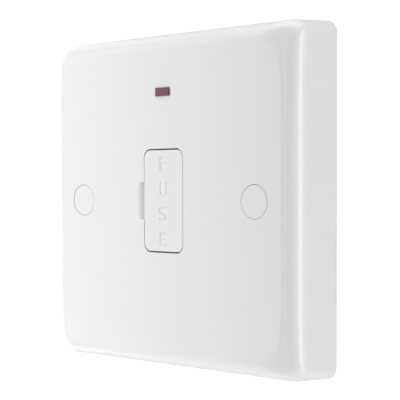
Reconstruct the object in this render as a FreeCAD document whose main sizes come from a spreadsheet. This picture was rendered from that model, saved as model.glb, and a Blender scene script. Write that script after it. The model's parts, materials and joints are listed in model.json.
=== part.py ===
import FreeCAD, Part
import math
import os
import re
import Sketcher

# Fused connection unit, unswitched, with a neon indicator: a round-edged plate, a fuse carrier that is
# prised out of its face, and six pillar terminals in a moulded tray behind it.
#
# Frame: millimetres, +Z up, +X to the right of a person who faces the plate, and the face looks along -Y.
# The origin is the centre of the rim that lies against the wall. Depths are measured from that rim and
# called "ahead", positive towards the face (along -Y) and negative into the wall box.

Vector = FreeCAD.Vector

SIZES = {
    # Moulded plate
    "plate_size": 86.0,             # height and width of the rim against the wall
    "plate_depth": 15.45,           # rim to front of the face
    "wall_draft": 0.7,              # how far each side leans in over the whole depth
    "shoulder_run": 4.0,            # width of the rounded shoulder, seen from the front
    "shoulder_depth": 5.0,          # depth of the rounded shoulder, seen from the side
    "rim_corner": 3.0,              # corner radius at the rim
    "shoulder_corner": 4.0,         # corner radius where the shoulder begins
    "face_corner": 7.0,             # corner radius where the shoulder meets the face
    "bow_length": 14.0,             # height over which the upright sides bow in at each end
    "rim_bow": 0.05,                # how far they have bowed in at the end, at the rim
    "face_bow": 2.5,                # the same where the shoulder meets the face
    "side_wall": 2.4,
    "face_wall": 2.6,
    "cavity_draft": 1.0,            # how far the cavity narrows towards the face
    "cavity_rim_corner": 4.0,
    "cavity_face_corner": 10.0,
    "cavity_fillet": 1.5,
    "root_overlap": 0.4,            # how far ribs and bosses root into the wall that they stand on
    "rib_thickness": 1.4,
    "face_rib_height": 2.3,
    "face_rib_offset": 16.0,        # centre line of the two tall ribs inside the face
    "gusset_drop": 4.0,             # distance of the gussets from the rim
    # Wall fixings
    "fixing_span": 60.3,            # centres of the two wall fixings
    "fixing_hole_radius": 2.0,
    "fixing_boss_wall": 1.34,       # round the recess of each cap
    "countersink_land": 0.56,       # flat left round each countersink
    "screw_cap_radius": 4.08,
    "screw_cap_height": 3.4,
    "screw_cap_top": 1.0,
    "screw_cap_wall": 0.8,
    "screw_cap_edge": 0.12,
    "screw_cap_clearance": 0.08,    # round the cap in its recess
    "screw_cap_seat": 0.3,          # below the skirt of the cap
    # Fuse carrier
    "carrier_width": 13.6,
    "carrier_end_room": 0.2,        # from each end of the fuse to the end of the carrier
    "carrier_corner": 2.1,
    "carrier_edge": 0.3,
    "carrier_gap": 0.14,            # each side of the carrier in the plate
    "carrier_end_gap": 0.32,        # above and below it
    "carrier_face": 2.6,
    "carrier_travel": 14.0,
    "carrier_stop": 0.25,           # left between the stop lugs and the plate when drawn out
    "rail_thickness": 1.3,
    "rail_height": 9.0,
    "lug_reach": 1.1,
    "lug_depth": 2.0,
    "lug_height": 4.0,
    "lug_clearance": 0.3,
    "sleeve_wall": 1.5,
    "sleeve_gap": 0.5,              # between the guide sleeve and the barriers of the tray
    "cradle_wall": 1.36,
    "cradle_end_gap": 1.1,          # between the cradle and each fuse cap
    "cradle_tail": 2.4,             # how far the cradle reaches behind the fuse axis
    "cradle_grip": 0.4,             # how far each lip of the cradle closes over the fuse
    "cradle_fit": 0.04,
    "prise_slot_width": 1.9,
    "prise_slot_height": 9.8,
    "prise_slot_depth": 1.4,
    "prise_slot_lip": 0.04,         # depth of the slot at its far side
    "prise_notch_reach": 0.8,
    "prise_notch_lip": 0.9,
    # Cartridge fuse
    "fuse_length": 25.4,
    "fuse_cap_radius": 3.175,
    "fuse_cap_length": 6.0,
    "fuse_cap_end": 0.5,
    "fuse_cap_edge": 0.35,
    "fuse_cap_wall": 0.155,
    "fuse_fit": 0.02,
    "fuse_gap": 0.175,              # between the fuse caps and the back of the carrier face
    # Sprung clips
    "strip_thickness": 0.8,
    "strip_width": 5.0,
    "strip_bend": 1.2,
    "clip_base_ahead": 0.8,         # ahead position of the tops of the pedestals
    "jaw_thickness": 0.6,
    "jaw_width": 5.0,
    "jaw_clearance": 0.04,          # each side of the fuse caps
    "jaw_root_gap": 0.7,            # how much wider the jaws stand at their root
    "jaw_knee": 3.5,                # from the fuse axis back to where the jaws start to close in
    "jaw_flare": 1.1,
    "jaw_flare_length": 2.4,
    # Terminals
    "terminal_width": 8.0,
    "terminal_length": 8.8,
    "terminal_depth": 7.4,
    "terminal_edge": 0.5,
    "wire_bore_radius": 2.1,
    "wire_bore_wall": 1.1,          # metal in front of the wire bore
    "clamp_screw_radius": 1.7,
    "clamp_screw_length": 4.6,
    "clamp_screw_fit": 0.05,
    "clamp_screw_retreat": 0.05,    # tip of the screw behind the wall of the wire bore
    "clamp_slot_width": 0.8,
    "clamp_slot_depth": 1.0,
    "strip_hole_clearance": 0.3,
    "access_hole_clearance": 0.7,
    # Rear tray
    "base_rear": 9.6,               # how far the tray reaches behind the rim
    "base_front": 3.5,              # ahead position of the front edge of the tray
    "base_wall": 1.8,
    "base_floor": 2.0,
    "base_corner": 3.0,
    "base_edge": 0.8,
    "side_room": 3.15,              # between the outer cheeks and the wall of the tray
    "wire_entry_clearance": 0.4,
    "cheek_thickness": 1.0,
    "cheek_height": 4.6,
    "cheek_clearance": 0.05,
    "barrier_thickness": 1.2,
    "barrier_front": 2.5,
    "rail_clearance": 0.7,          # between the stop lugs and the inner barriers
    "link_clearance": 1.7,          # between the inner barriers and the flat links
    "pedestal_width": 8.4,
    "pedestal_lip": 0.8,            # how far each pedestal runs past the jaws
    "pedestal_wall": 1.3,
    "riser_clearance": 0.6,         # between the riser of each clip and the terminal
    "retaining_rib_length": 6.0,
    "retaining_gap": 0.3,
    # Base screws
    "base_screw_radius": 1.45,
    "base_screw_length": 10.0,
    "base_screw_head_radius": 2.7,
    "base_screw_head_depth": 1.9,
    "base_screw_head_edge": 0.5,
    "base_screw_seat": 3.0,         # material of the tray under each head
    "base_screw_fit": 0.05,
    "post_wall": 0.3,               # round the hole of each screw head
    "post_inset": 0.2,              # from each post to the outside of the tray
    "post_clearance": 1.2,          # between each post and the terminal beyond it
    "base_head_clearance": 0.2,
    # Neon indicator
    "lens_rise": 3.575,             # from the ribs over the terminals to the flange of the lens
    "lens_width": 4.6,
    "lens_tall": 2.05,
    "lens_corner": 0.25,
    "lens_proud": 0.5,
    "lens_clearance": 0.05,
    "lens_flange": 1.1,
    "lens_flange_depth": 1.0,
    "lamp_radius": 2.0,
    "lamp_overhang": 0.4,           # from each lamp rib to the end of the glass
    "lamp_gap": 0.65,               # between the lens flange and the glass
    "lamp_end": 1.4,
    "lamp_rib_clearance": 0.3,      # between the lens flange and each lamp rib
    "lamp_rib_thickness": 1.2,
    "lamp_rib_height": 5.6,
    "lamp_rib_tail": 1.2,           # how far the ribs reach behind the lamp axis
    "lamp_fit": 0.05,
    "lead_radius": 0.45,
    "lead_link": 2.5,               # bare lead between lamp and resistor
    "lead_reach": 4.2,              # how far each lead runs out beyond the indicator circuit
    "lead_rise": 4.4,               # ahead of the terminal face where a lead turns down to it
    "lead_inset": 1.2,              # from the outer end of the terminal to the lead
    "lead_offset": 2.5,             # from the middle of the terminal to the lead
    "resistor_radius": 1.2,
    "resistor_length": 6.5,
    "resistor_end": 0.5,
}

# Places that follow from the sizes, each worked out in the sheet under its own name
PLACES = {
    "cavity_ahead": "plate_depth - face_wall",
    "shoulder_ahead": "plate_depth - shoulder_depth",
    "cavity_half": "plate_size / 2 - side_wall",
    "fixing_x": "fixing_span / 2",
    "recess_radius": "screw_cap_radius + screw_cap_clearance",
    "recess_ahead": "plate_depth - screw_cap_height - screw_cap_seat",
    "fixing_boss_radius": "recess_radius + fixing_boss_wall",
    # Carrier and fuse
    "carrier_height": "fuse_length + 2 * carrier_end_room",
    "opening_half_width": "carrier_width / 2 + carrier_gap",
    "opening_half_height": "carrier_height / 2 + carrier_end_gap",
    "carrier_back": "plate_depth - carrier_face",
    "lug_ahead": "cavity_ahead - carrier_stop - carrier_travel",
    "lug_tip": "carrier_width / 2 + lug_reach",
    "rail_back": "lug_ahead - lug_depth",
    "sleeve_back": "barrier_front + sleeve_gap",
    "fuse_ahead": "carrier_back - fuse_gap - fuse_cap_radius",
    "fuse_barrel_radius": "fuse_cap_radius - fuse_cap_wall - fuse_fit",
    "cradle_half_width": "fuse_barrel_radius + cradle_fit + cradle_wall",
    "cradle_half_height": "fuse_length / 2 - fuse_cap_length - cradle_end_gap",
    "cradle_half_mouth": "fuse_barrel_radius - cradle_grip",
    "clip_height": "(fuse_length - fuse_cap_length) / 2",
    # Terminals and tray, laid out from the clips outward
    "pedestal_inner": "clip_height - jaw_width / 2 - pedestal_lip",
    "pedestal_outer": "clip_height + jaw_width / 2 + pedestal_lip",
    "terminal_start": "pedestal_outer + strip_thickness + riser_clearance",
    "terminal_height": "terminal_start + terminal_length / 2",
    "terminal_end": "terminal_start + terminal_length",
    "base_half_height": "terminal_end + base_wall",
    "barrier_x": "lug_tip + rail_clearance",
    "terminal_pitch": "barrier_x + barrier_thickness + link_clearance + strip_width / 2",
    "cheek_x": "terminal_width / 2 + cheek_clearance",
    "base_half_width": "terminal_pitch + cheek_x + cheek_thickness + side_room + base_wall",
    "floor_ahead": "base_floor - base_rear",
    "root_ahead": "floor_ahead - root_overlap",
    "terminal_back": "floor_ahead + strip_thickness",
    "terminal_front": "terminal_back + terminal_depth",
    "bore_ahead": "terminal_front - wire_bore_wall - wire_bore_radius",
    "clamp_tip": "bore_ahead - wire_bore_radius - clamp_screw_retreat",
    "clamp_end": "clamp_tip - clamp_screw_length",
    "head_hole_radius": "base_screw_head_radius + base_head_clearance",
    "post_radius": "head_hole_radius + post_wall",
    "post_x": "base_half_width - post_inset - post_radius",
    "post_height": "terminal_start - post_clearance - post_radius",
    "post_seat": "base_front - base_screw_seat",
    # Indicator
    "retaining_top": "terminal_height + retaining_rib_length / 2",
    "lens_height": "retaining_top + lens_rise + lens_flange + lens_tall / 2",
    "lens_back": "cavity_ahead - lens_flange_depth",
    "lamp_ahead": "lens_back - lamp_gap - lamp_radius",
    "lamp_rib_x": "lens_width / 2 + lens_flange + lamp_rib_clearance + lamp_rib_thickness / 2",
    "lamp_half": "lamp_rib_x + lamp_rib_thickness / 2 + lamp_overhang",
}

SHOULDER_ANGLES = range(0, 91, 15)
NEAR = 0.01                         # two places closer than this are the same
SMALLEST_CUT = 1e-6
POLES = {"neutral": -1, "live": 0, "earth": 1}
ROWS = {"load": 1, "supply": -1}
SIDES = {"left": -1, "right": 1}

doc = FreeCAD.newDocument("FusedSpurUnit")
sheet = doc.addObject("Spreadsheet::Sheet", "dims")
parts = []


def fill_sheet():
    """One row for each driving dimension, then one for each place, with the name as alias."""
    values = {name: str(size) for name, size in SIZES.items()}
    values.update({name: "=" + text for name, text in PLACES.items()})
    for row, (name, value) in enumerate(values.items(), start=1):
        sheet.set("A%d" % row, name)
        sheet.setAlias("B%d" % row, name)
        sheet.set("B%d" % row, value)
    doc.recompute()


def formula(text):
    """The text as an expression, with each name pointing at its cell. Only those names have underscores."""
    return re.sub(r"[a-z]\w*_\w*", r"dims.\g<0>", text)


def number(text):
    """The present value of a formula, to draw with before the sheet drives it."""
    return float(sheet.evalExpression(formula(text)))


def bind(target, path, text):
    target.setExpression(path, formula(text))


def times(factor, text):
    return "(%d * %s)" % (factor, text)


def minus(text):
    return times(-1, text)


# Sketches

def new_body(label):
    body = doc.addObject("PartDesign::Body", label)
    body.Label = label
    parts.append(body)
    return body


def new_sketch(body, name, plane="XZ_Plane", offset="0"):
    """A sketch on one of the body's own origin planes. On XZ_Plane the offset runs ahead."""
    sketch = body.newObject("Sketcher::SketchObject", body.Label + "_" + name)
    support = [item for item in body.Origin.OriginFeatures if item.Role == plane][0]
    sketch.AttachmentSupport = [(support, "")]
    sketch.MapMode = "FlatFace"
    bind(sketch, "AttachmentOffset.Base.z", offset)
    return sketch


def place_along(sketch, kind, geometry, point, text):
    index = sketch.addConstraint(Sketcher.Constraint(kind, -1, 1, geometry, point, number(text)))
    bind(sketch, "Constraints[%d]" % index, text)


def place_point(sketch, geometry, point, across, up):
    place_along(sketch, "DistanceX", geometry, point, across)
    place_along(sketch, "DistanceY", geometry, point, up)


def set_radius(sketch, geometry, radius):
    index = sketch.addConstraint(Sketcher.Constraint("Radius", geometry, number(radius)))
    bind(sketch, "Constraints[%d]" % index, radius)


def draw_circle(sketch, across, up, radius):
    centre = Vector(number(across), number(up), 0)
    geometry = sketch.addGeometry(Part.Circle(centre, Vector(0, 0, 1), number(radius)))
    place_point(sketch, geometry, 3, across, up)
    set_radius(sketch, geometry, radius)


def draw_outline(sketch, corners):
    """A closed straight-sided outline whose corners are pairs of formulas."""
    first = sketch.GeometryCount
    count = len(corners)
    points = [Vector(number(across), number(up), 0) for across, up in corners]
    for index in range(count):
        sketch.addGeometry(Part.LineSegment(points[index], points[(index + 1) % count]))
    for index in range(count):
        following = first + (index + 1) % count
        sketch.addConstraint(Sketcher.Constraint("Coincident", first + index, 2, following, 1))
    for index, (across, up) in enumerate(corners):
        place_point(sketch, first + index, 1, across, up)


def draw_box(sketch, left, right, bottom, top):
    draw_outline(sketch, [(left, bottom), (right, bottom), (right, top), (left, top)])


def draw_centred_box(sketch, across, up, width, height):
    draw_box(
        sketch,
        "%s - %s / 2" % (across, width),
        "%s + %s / 2" % (across, width),
        "%s - %s / 2" % (up, height),
        "%s + %s / 2" % (up, height),
    )


def draw_rounded_box(sketch, half_width, half_height, radius, up="0"):
    """A rectangle with four corner arcs, centred across the plate."""
    first = sketch.GeometryCount
    corner = number(radius)
    corner_x = number(half_width) - corner
    corner_y = number(half_height) - corner
    ends = []
    for turn, (side, level) in enumerate(((1, 1), (-1, 1), (-1, -1), (1, -1))):
        centre = Vector(side * corner_x, number(up) + level * corner_y, 0)
        circle = Part.Circle(centre, Vector(0, 0, 1), corner)
        arc = Part.ArcOfCircle(circle, turn * math.pi / 2, (turn + 1) * math.pi / 2)
        sketch.addGeometry(arc)
        ends.append((arc.StartPoint, arc.EndPoint))
        place_point(
            sketch,
            first + turn,
            3,
            "%d * (%s - %s)" % (side, half_width, radius),
            "%s + %d * (%s - %s)" % (up, level, half_height, radius),
        )
        set_radius(sketch, first + turn, radius)
    for turn in range(4):
        sketch.addGeometry(Part.LineSegment(ends[turn][1], ends[(turn + 1) % 4][0]))
    for turn in range(4):
        line = first + 4 + turn
        sketch.addConstraint(Sketcher.Constraint("Tangent", first + turn, 2, line, 1))
        sketch.addConstraint(Sketcher.Constraint("Tangent", line, 2, first + (turn + 1) % 4, 1))


def draw_bowed_box(sketch, half, corner, bow):
    """A square whose upright sides bow in towards each end, where small arcs turn into top and bottom."""
    first = sketch.GeometryCount
    bend = "(bow_length ^ 2 / (2 * %s))" % bow
    bow_start = "(%s - bow_length)" % half
    bend_value = number(bend)
    corner_value = number(corner)
    lean = math.asin((number("bow_length") - corner_value) / (bend_value - corner_value))
    bow_x = number(half) - bend_value
    corner_x = bow_x + (bend_value - corner_value) * math.cos(lean)
    ends = []
    for turn, (side, level) in enumerate(((1, 1), (-1, 1), (-1, -1), (1, -1))):
        start = turn * math.pi / 2
        stop = start + math.pi / 2
        bow_centre = Vector(side * bow_x, level * number(bow_start), 0)
        corner_centre = Vector(side * corner_x, level * (number(half) - corner_value), 0)
        bow_circle = Part.Circle(bow_centre, Vector(0, 0, 1), bend_value)
        corner_circle = Part.Circle(corner_centre, Vector(0, 0, 1), corner_value)
        if side == level:
            bowed = first + 2 * turn
            rounded = bowed + 1
            arcs = [
                Part.ArcOfCircle(bow_circle, start, start + lean),
                Part.ArcOfCircle(corner_circle, start + lean, stop),
            ]
        else:
            rounded = first + 2 * turn
            bowed = rounded + 1
            arcs = [
                Part.ArcOfCircle(corner_circle, start, stop - lean),
                Part.ArcOfCircle(bow_circle, stop - lean, stop),
            ]
        sketch.addGeometry(arcs)
        ends.append((arcs[0].StartPoint, arcs[1].EndPoint))
        place_point(sketch, bowed, 3, times(side, "(%s - %s)" % (half, bend)), times(level, bow_start))
        place_along(sketch, "DistanceY", rounded, 3, times(level, "(%s - %s)" % (half, corner)))
        set_radius(sketch, bowed, bend)
        set_radius(sketch, rounded, corner)
    for turn in range(4):
        sketch.addGeometry(Part.LineSegment(ends[turn][1], ends[(turn + 1) % 4][0]))
    for turn in range(4):
        line = first + 8 + turn
        entering = first + 2 * turn
        following = first + 2 * ((turn + 1) % 4)
        sketch.addConstraint(Sketcher.Constraint("Tangent", entering, 2, entering + 1, 1))
        sketch.addConstraint(Sketcher.Constraint("Tangent", entering + 1, 2, line, 1))
        sketch.addConstraint(Sketcher.Constraint("Tangent", line, 2, following, 1))


# Features

def extrude(body, kind, name, sketch, length, reverse, symmetric):
    feature = body.newObject("PartDesign::" + kind, body.Label + "_" + name)
    feature.Profile = sketch
    feature.Reversed = reverse
    if symmetric:
        feature.SideType = "Symmetric"
    bind(feature, "Length", length)
    return feature


def pad(body, name, sketch, length, symmetric=False):
    """Adds material from the sketch towards the face."""
    return extrude(body, "Pad", name, sketch, length, False, symmetric)


def cut(body, name, sketch, length, backward=False, symmetric=False):
    """Takes material away from the sketch towards the face, or backward from it."""
    return extrude(body, "Pocket", name, sketch, length, not backward, symmetric)


def loft(body, kind, name, sections):
    feature = body.newObject("PartDesign::" + kind, body.Label + "_" + name)
    feature.Profile = sections[0]
    feature.Sections = sections[1:]
    return feature


def dress(body, kind, name, size_name, size, chosen):
    """Fillet or chamfer of the edges of the body that the test picks."""
    doc.recompute()
    base = body.Tip
    edges = ["Edge%d" % (index + 1) for index, edge in enumerate(base.Shape.Edges) if chosen(edge)]
    feature = body.newObject("PartDesign::" + kind, body.Label + "_" + name)
    feature.Base = (base, edges)
    bind(feature, size_name, size)
    return feature


def fillet(body, name, radius, chosen):
    return dress(body, "Fillet", name, "Radius", radius, chosen)


def chamfer(body, name, size, chosen):
    return dress(body, "Chamfer", name, "Size", size, chosen)


def lies_ahead(edge, ahead):
    """True for an edge that lies in the plane at that depth."""
    return abs(edge.BoundBox.YMin + ahead) < NEAR and abs(edge.BoundBox.YMax + ahead) < NEAR


def circle_radius(edge):
    return edge.Curve.Radius if isinstance(edge.Curve, Part.Circle) else 0.0


# Front plate

def plate_section(body, name, ahead, corner, angle=0):
    """Bowed square across the plate at one depth, at an angle round the elliptical shoulder."""
    inset = "(1 - cos(%d))" % angle
    half = "(plate_size / 2 - wall_draft * %s / plate_depth - shoulder_run * %s)" % (ahead, inset)
    sketch = new_sketch(body, name, offset=ahead)
    draw_bowed_box(sketch, half, corner, "(rim_bow + (face_bow - rim_bow) * %s)" % inset)
    return sketch


def build_shell(body):
    """Drafted wall, then a shoulder that pinches in at the ends of its upright sides."""
    shoulder = []
    for angle in SHOULDER_ANGLES:
        ahead = "(shoulder_ahead + shoulder_depth * sin(%d))" % angle
        corner = "(shoulder_corner + (face_corner - shoulder_corner) * (1 - cos(%d)))" % angle
        shoulder.append(plate_section(body, "shoulder_%d" % angle, ahead, corner, angle))
    loft(body, "AdditiveLoft", "wall", [plate_section(body, "rim", "0", "rim_corner"), shoulder[0]])
    loft(body, "AdditiveLoft", "shoulder", shoulder)

    mouth = new_sketch(body, "cavity_mouth")
    draw_rounded_box(mouth, "cavity_half", "cavity_half", "cavity_rim_corner")
    floor = new_sketch(body, "cavity_floor", offset="cavity_ahead")
    half = "(cavity_half - cavity_draft)"
    draw_rounded_box(floor, half, half, "cavity_face_corner")
    loft(body, "SubtractiveLoft", "cavity", [mouth, floor])
    fillet(body, "cavity_fillet", "cavity_fillet", lambda edge: lies_ahead(edge, number("cavity_ahead")))


def stand_ribs(body, name, ahead, boxes):
    """Ribs from a depth up to the inside of the face, each given by its left, right, bottom and top."""
    sketch = new_sketch(body, name, offset=ahead)
    for box in boxes:
        draw_box(sketch, *box)
    pad(body, name + "_rise", sketch, "cavity_ahead - %s + root_overlap" % ahead)


def build_bosses(body):
    sketch = new_sketch(body, "fixing_bosses")
    for side in SIDES.values():
        draw_circle(sketch, times(side, "fixing_x"), "0", "fixing_boss_radius")
    pad(body, "fixing_boss_rise", sketch, "cavity_ahead + root_overlap")

    sketch = new_sketch(body, "screw_bosses", offset="base_front")
    for side in SIDES.values():
        for row in ROWS.values():
            draw_circle(sketch, times(side, "post_x"), times(row, "post_height"), "post_radius")
    pad(body, "screw_boss_rise", sketch, "cavity_ahead - base_front + root_overlap")


def build_ribs(body):
    half_rib = "rib_thickness / 2"
    wall_inside = "(cavity_half - cavity_draft + root_overlap)"
    for label, side in SIDES.items():
        near = times(side, "(fixing_x + fixing_boss_radius - root_overlap)")
        far = times(side, wall_inside)
        stand_ribs(body, "gusset_" + label, "gusset_drop", [(near, far, "-" + half_rib, half_rib)])

    tall = []
    for side in SIDES.values():
        line = times(side, "face_rib_offset")
        left = "%s - %s" % (line, half_rib)
        right = "%s + %s" % (line, half_rib)
        tall.append((left, right, minus(wall_inside), wall_inside))
    stand_ribs(body, "face_ribs", "(cavity_ahead - face_rib_height)", tall)

    holders = []
    for pole in POLES.values():
        line = times(pole, "terminal_pitch")
        for row in ROWS.values():
            level = times(row, "terminal_height")
            holders.append((
                "%s - %s" % (line, half_rib),
                "%s + %s" % (line, half_rib),
                "%s - retaining_rib_length / 2" % level,
                "%s + retaining_rib_length / 2" % level,
            ))
    stand_ribs(body, "retaining_ribs", "(terminal_front + retaining_gap)", holders)

    cradles = []
    for side in SIDES.values():
        line = times(side, "lamp_rib_x")
        cradles.append((
            line + " - lamp_rib_thickness / 2",
            line + " + lamp_rib_thickness / 2",
            "lens_height - lamp_rib_height / 2",
            "lens_height + lamp_rib_height / 2",
        ))
    stand_ribs(body, "lamp_ribs", "(lamp_ahead - lamp_rib_tail)", cradles)
    notch = new_sketch(body, "lamp_notch", "YZ_Plane")
    low = "lens_height - lamp_radius - lamp_fit"
    high = "lens_height + lamp_radius + lamp_fit"
    draw_circle(notch, minus("lamp_ahead"), "lens_height", "lamp_radius + lamp_fit")
    cut(body, "lamp_seat", notch, "2 * lamp_half", symmetric=True)
    mouth = new_sketch(body, "lamp_mouth", "YZ_Plane")
    draw_box(mouth, minus("lamp_ahead"), "lamp_rib_tail * 2 - lamp_ahead", low, high)
    cut(body, "lamp_entry", mouth, "2 * lamp_half", symmetric=True)


def build_carrier_guide(body):
    """Sleeve behind the carrier opening, slotted on both sides for the stop lugs."""
    sleeve = new_sketch(body, "sleeve", offset="sleeve_back")
    draw_rounded_box(
        sleeve,
        "(opening_half_width + sleeve_wall)",
        "(opening_half_height + sleeve_wall)",
        "(carrier_corner + carrier_gap + sleeve_wall)",
    )
    pad(body, "sleeve_rise", sleeve, "cavity_ahead - sleeve_back + root_overlap")

    opening = new_sketch(body, "opening", offset="sleeve_back")
    draw_rounded_box(opening, "opening_half_width", "opening_half_height", "(carrier_corner + carrier_gap)")
    cut(body, "opening_through", opening, "plate_depth")

    slots = new_sketch(body, "lug_slots", offset="sleeve_back")
    outer = "(opening_half_width + sleeve_wall + lug_clearance)"
    half_slot = "(lug_height / 2 + lug_clearance)"
    draw_box(slots, minus(outer), outer, minus(half_slot), half_slot)
    cut(body, "lug_slots_open", slots, "cavity_ahead - sleeve_back")

    prise = new_sketch(body, "prise_slot", "XY_Plane")
    near = minus("opening_half_width")
    far = "(%s - prise_slot_width)" % near
    clear_of_face = "(-plate_depth - carrier_gap)"
    draw_outline(prise, [
        (far, clear_of_face),
        ("%s + carrier_gap" % near, clear_of_face),
        ("%s + carrier_gap" % near, "prise_slot_depth - plate_depth"),
        (near, "prise_slot_depth - plate_depth"),
        (far, "prise_slot_lip - plate_depth"),
    ])
    cut(body, "prise_slot_open", prise, "prise_slot_height", symmetric=True)


def build_fixing_holes(body):
    recess = new_sketch(body, "cap_recesses", offset="plate_depth")
    for side in SIDES.values():
        draw_circle(recess, times(side, "fixing_x"), "0", "recess_radius")
    cut(body, "cap_recess_sink", recess, "screw_cap_height + screw_cap_seat", backward=True)

    holes = new_sketch(body, "fixing_holes")
    for side in SIDES.values():
        draw_circle(holes, times(side, "fixing_x"), "0", "fixing_hole_radius")
    cut(body, "fixing_holes_through", holes, "plate_depth")
    seat = number("recess_ahead")
    hole = number("fixing_hole_radius")
    chamfer(
        body,
        "countersinks",
        "recess_radius - countersink_land - fixing_hole_radius",
        lambda edge: lies_ahead(edge, seat) and abs(circle_radius(edge) - hole) < NEAR,
    )

    pilots = new_sketch(body, "pilot_holes", offset="base_front")
    for side in SIDES.values():
        for row in ROWS.values():
            across = times(side, "post_x")
            draw_circle(pilots, across, times(row, "post_height"), "base_screw_radius + base_screw_fit")
    cut(body, "pilot_holes_sink", pilots, "base_screw_length - base_screw_seat + base_screw_head_edge")


def build_window(body):
    window = new_sketch(body, "window", offset="(cavity_ahead - root_overlap)")
    draw_rounded_box(
        window,
        "(lens_width / 2 + lens_clearance)",
        "(lens_tall / 2 + lens_clearance)",
        "lens_corner",
        "lens_height",
    )
    cut(body, "window_through", window, "plate_depth")


def build_front_plate():
    body = new_body("front_plate")
    build_shell(body)
    build_bosses(body)
    build_ribs(body)
    build_carrier_guide(body)
    build_fixing_holes(body)
    build_window(body)


def build_screw_caps():
    """Push-in caps, hollow behind to clear the heads of the wall fixings."""
    for label, side in SIDES.items():
        body = new_body("screw_cap_" + label)
        disc = new_sketch(body, "disc", offset="plate_depth - screw_cap_height")
        draw_circle(disc, times(side, "fixing_x"), "0", "screw_cap_radius")
        pad(body, "cap", disc, "screw_cap_height")
        hollow = new_sketch(body, "hollow", offset="plate_depth - screw_cap_height")
        draw_circle(hollow, times(side, "fixing_x"), "0", "screw_cap_radius - screw_cap_wall")
        cut(body, "skirt", hollow, "screw_cap_height - screw_cap_top")
        chamfer(body, "edge", "screw_cap_edge", lambda edge: lies_ahead(edge, number("plate_depth")))


# Fuse carrier and fuse

def build_fuse_carrier():
    body = new_body("fuse_carrier")
    face = new_sketch(body, "face", offset="carrier_back")
    draw_rounded_box(face, "(carrier_width / 2)", "(carrier_height / 2)", "carrier_corner")
    pad(body, "face_block", face, "carrier_face")
    fillet(body, "face_edge", "carrier_edge", lambda edge: lies_ahead(edge, number("plate_depth")))

    notch = new_sketch(body, "prise_notch", "XY_Plane")
    outside = "(-carrier_width / 2 - carrier_gap)"
    draw_box(
        notch,
        outside,
        "prise_notch_reach - carrier_width / 2",
        "prise_notch_lip - plate_depth",
        "carrier_gap - carrier_back",
    )
    cut(body, "prise_notch_open", notch, "prise_slot_height", symmetric=True)

    rails = new_sketch(body, "rails", offset="rail_back")
    lugs = new_sketch(body, "lugs", offset="rail_back")
    for side in SIDES.values():
        outer = times(side, "(carrier_width / 2 - prise_notch_reach)")
        inner = times(side, "(carrier_width / 2 - prise_notch_reach - rail_thickness)")
        tip = times(side, "lug_tip")
        draw_box(rails, inner, outer, "-rail_height / 2", "rail_height / 2")
        draw_box(lugs, inner, tip, "-lug_height / 2", "lug_height / 2")
    pad(body, "rail_pair", rails, "carrier_back - rail_back + root_overlap")
    pad(body, "lug_pair", lugs, "lug_depth")

    cradle = new_sketch(body, "cradle", offset="fuse_ahead - cradle_tail")
    draw_centred_box(cradle, "0", "0", "(2 * cradle_half_width)", "(2 * cradle_half_height)")
    pad(body, "cradle_block", cradle, "carrier_back - fuse_ahead + cradle_tail + root_overlap")
    bore = new_sketch(body, "cradle_bore", "XY_Plane")
    draw_circle(bore, "0", minus("fuse_ahead"), "fuse_barrel_radius + cradle_fit")
    cut(body, "cradle_bore_through", bore, "carrier_height", symmetric=True)
    mouth = new_sketch(body, "cradle_mouth", "XY_Plane")
    side = "cradle_half_mouth"
    draw_box(mouth, minus(side), side, minus("fuse_ahead"), "2 * cradle_tail - fuse_ahead")
    cut(body, "cradle_mouth_open", mouth, "carrier_height", symmetric=True)


def build_fuse():
    """Ceramic barrel with a turned cap on each end, upright behind the carrier face."""
    barrel = new_body("fuse_barrel")
    round_section = new_sketch(barrel, "section", "XY_Plane")
    draw_circle(round_section, "0", minus("fuse_ahead"), "fuse_barrel_radius")
    pad(barrel, "tube", round_section, "fuse_length - 2 * fuse_cap_end", symmetric=True)

    for label, row in (("upper", 1), ("lower", -1)):
        body = new_body("fuse_cap_" + label)
        height = times(row, "clip_height")
        outside = new_sketch(body, "outside", "XY_Plane", height)
        draw_circle(outside, "0", minus("fuse_ahead"), "fuse_cap_radius")
        pad(body, "cap", outside, "fuse_cap_length", symmetric=True)
        end = number("fuse_length / 2") * row
        chamfer(body, "rim", "fuse_cap_edge", lambda edge: abs(edge.CenterOfMass.z - end) < NEAR)
        inside = new_sketch(body, "inside", "XY_Plane", times(row, "(fuse_length / 2 - fuse_cap_end)"))
        draw_circle(inside, "0", minus("fuse_ahead"), "fuse_barrel_radius + fuse_fit")
        cut(body, "bore", inside, "fuse_cap_length", backward=row > 0)


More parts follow.
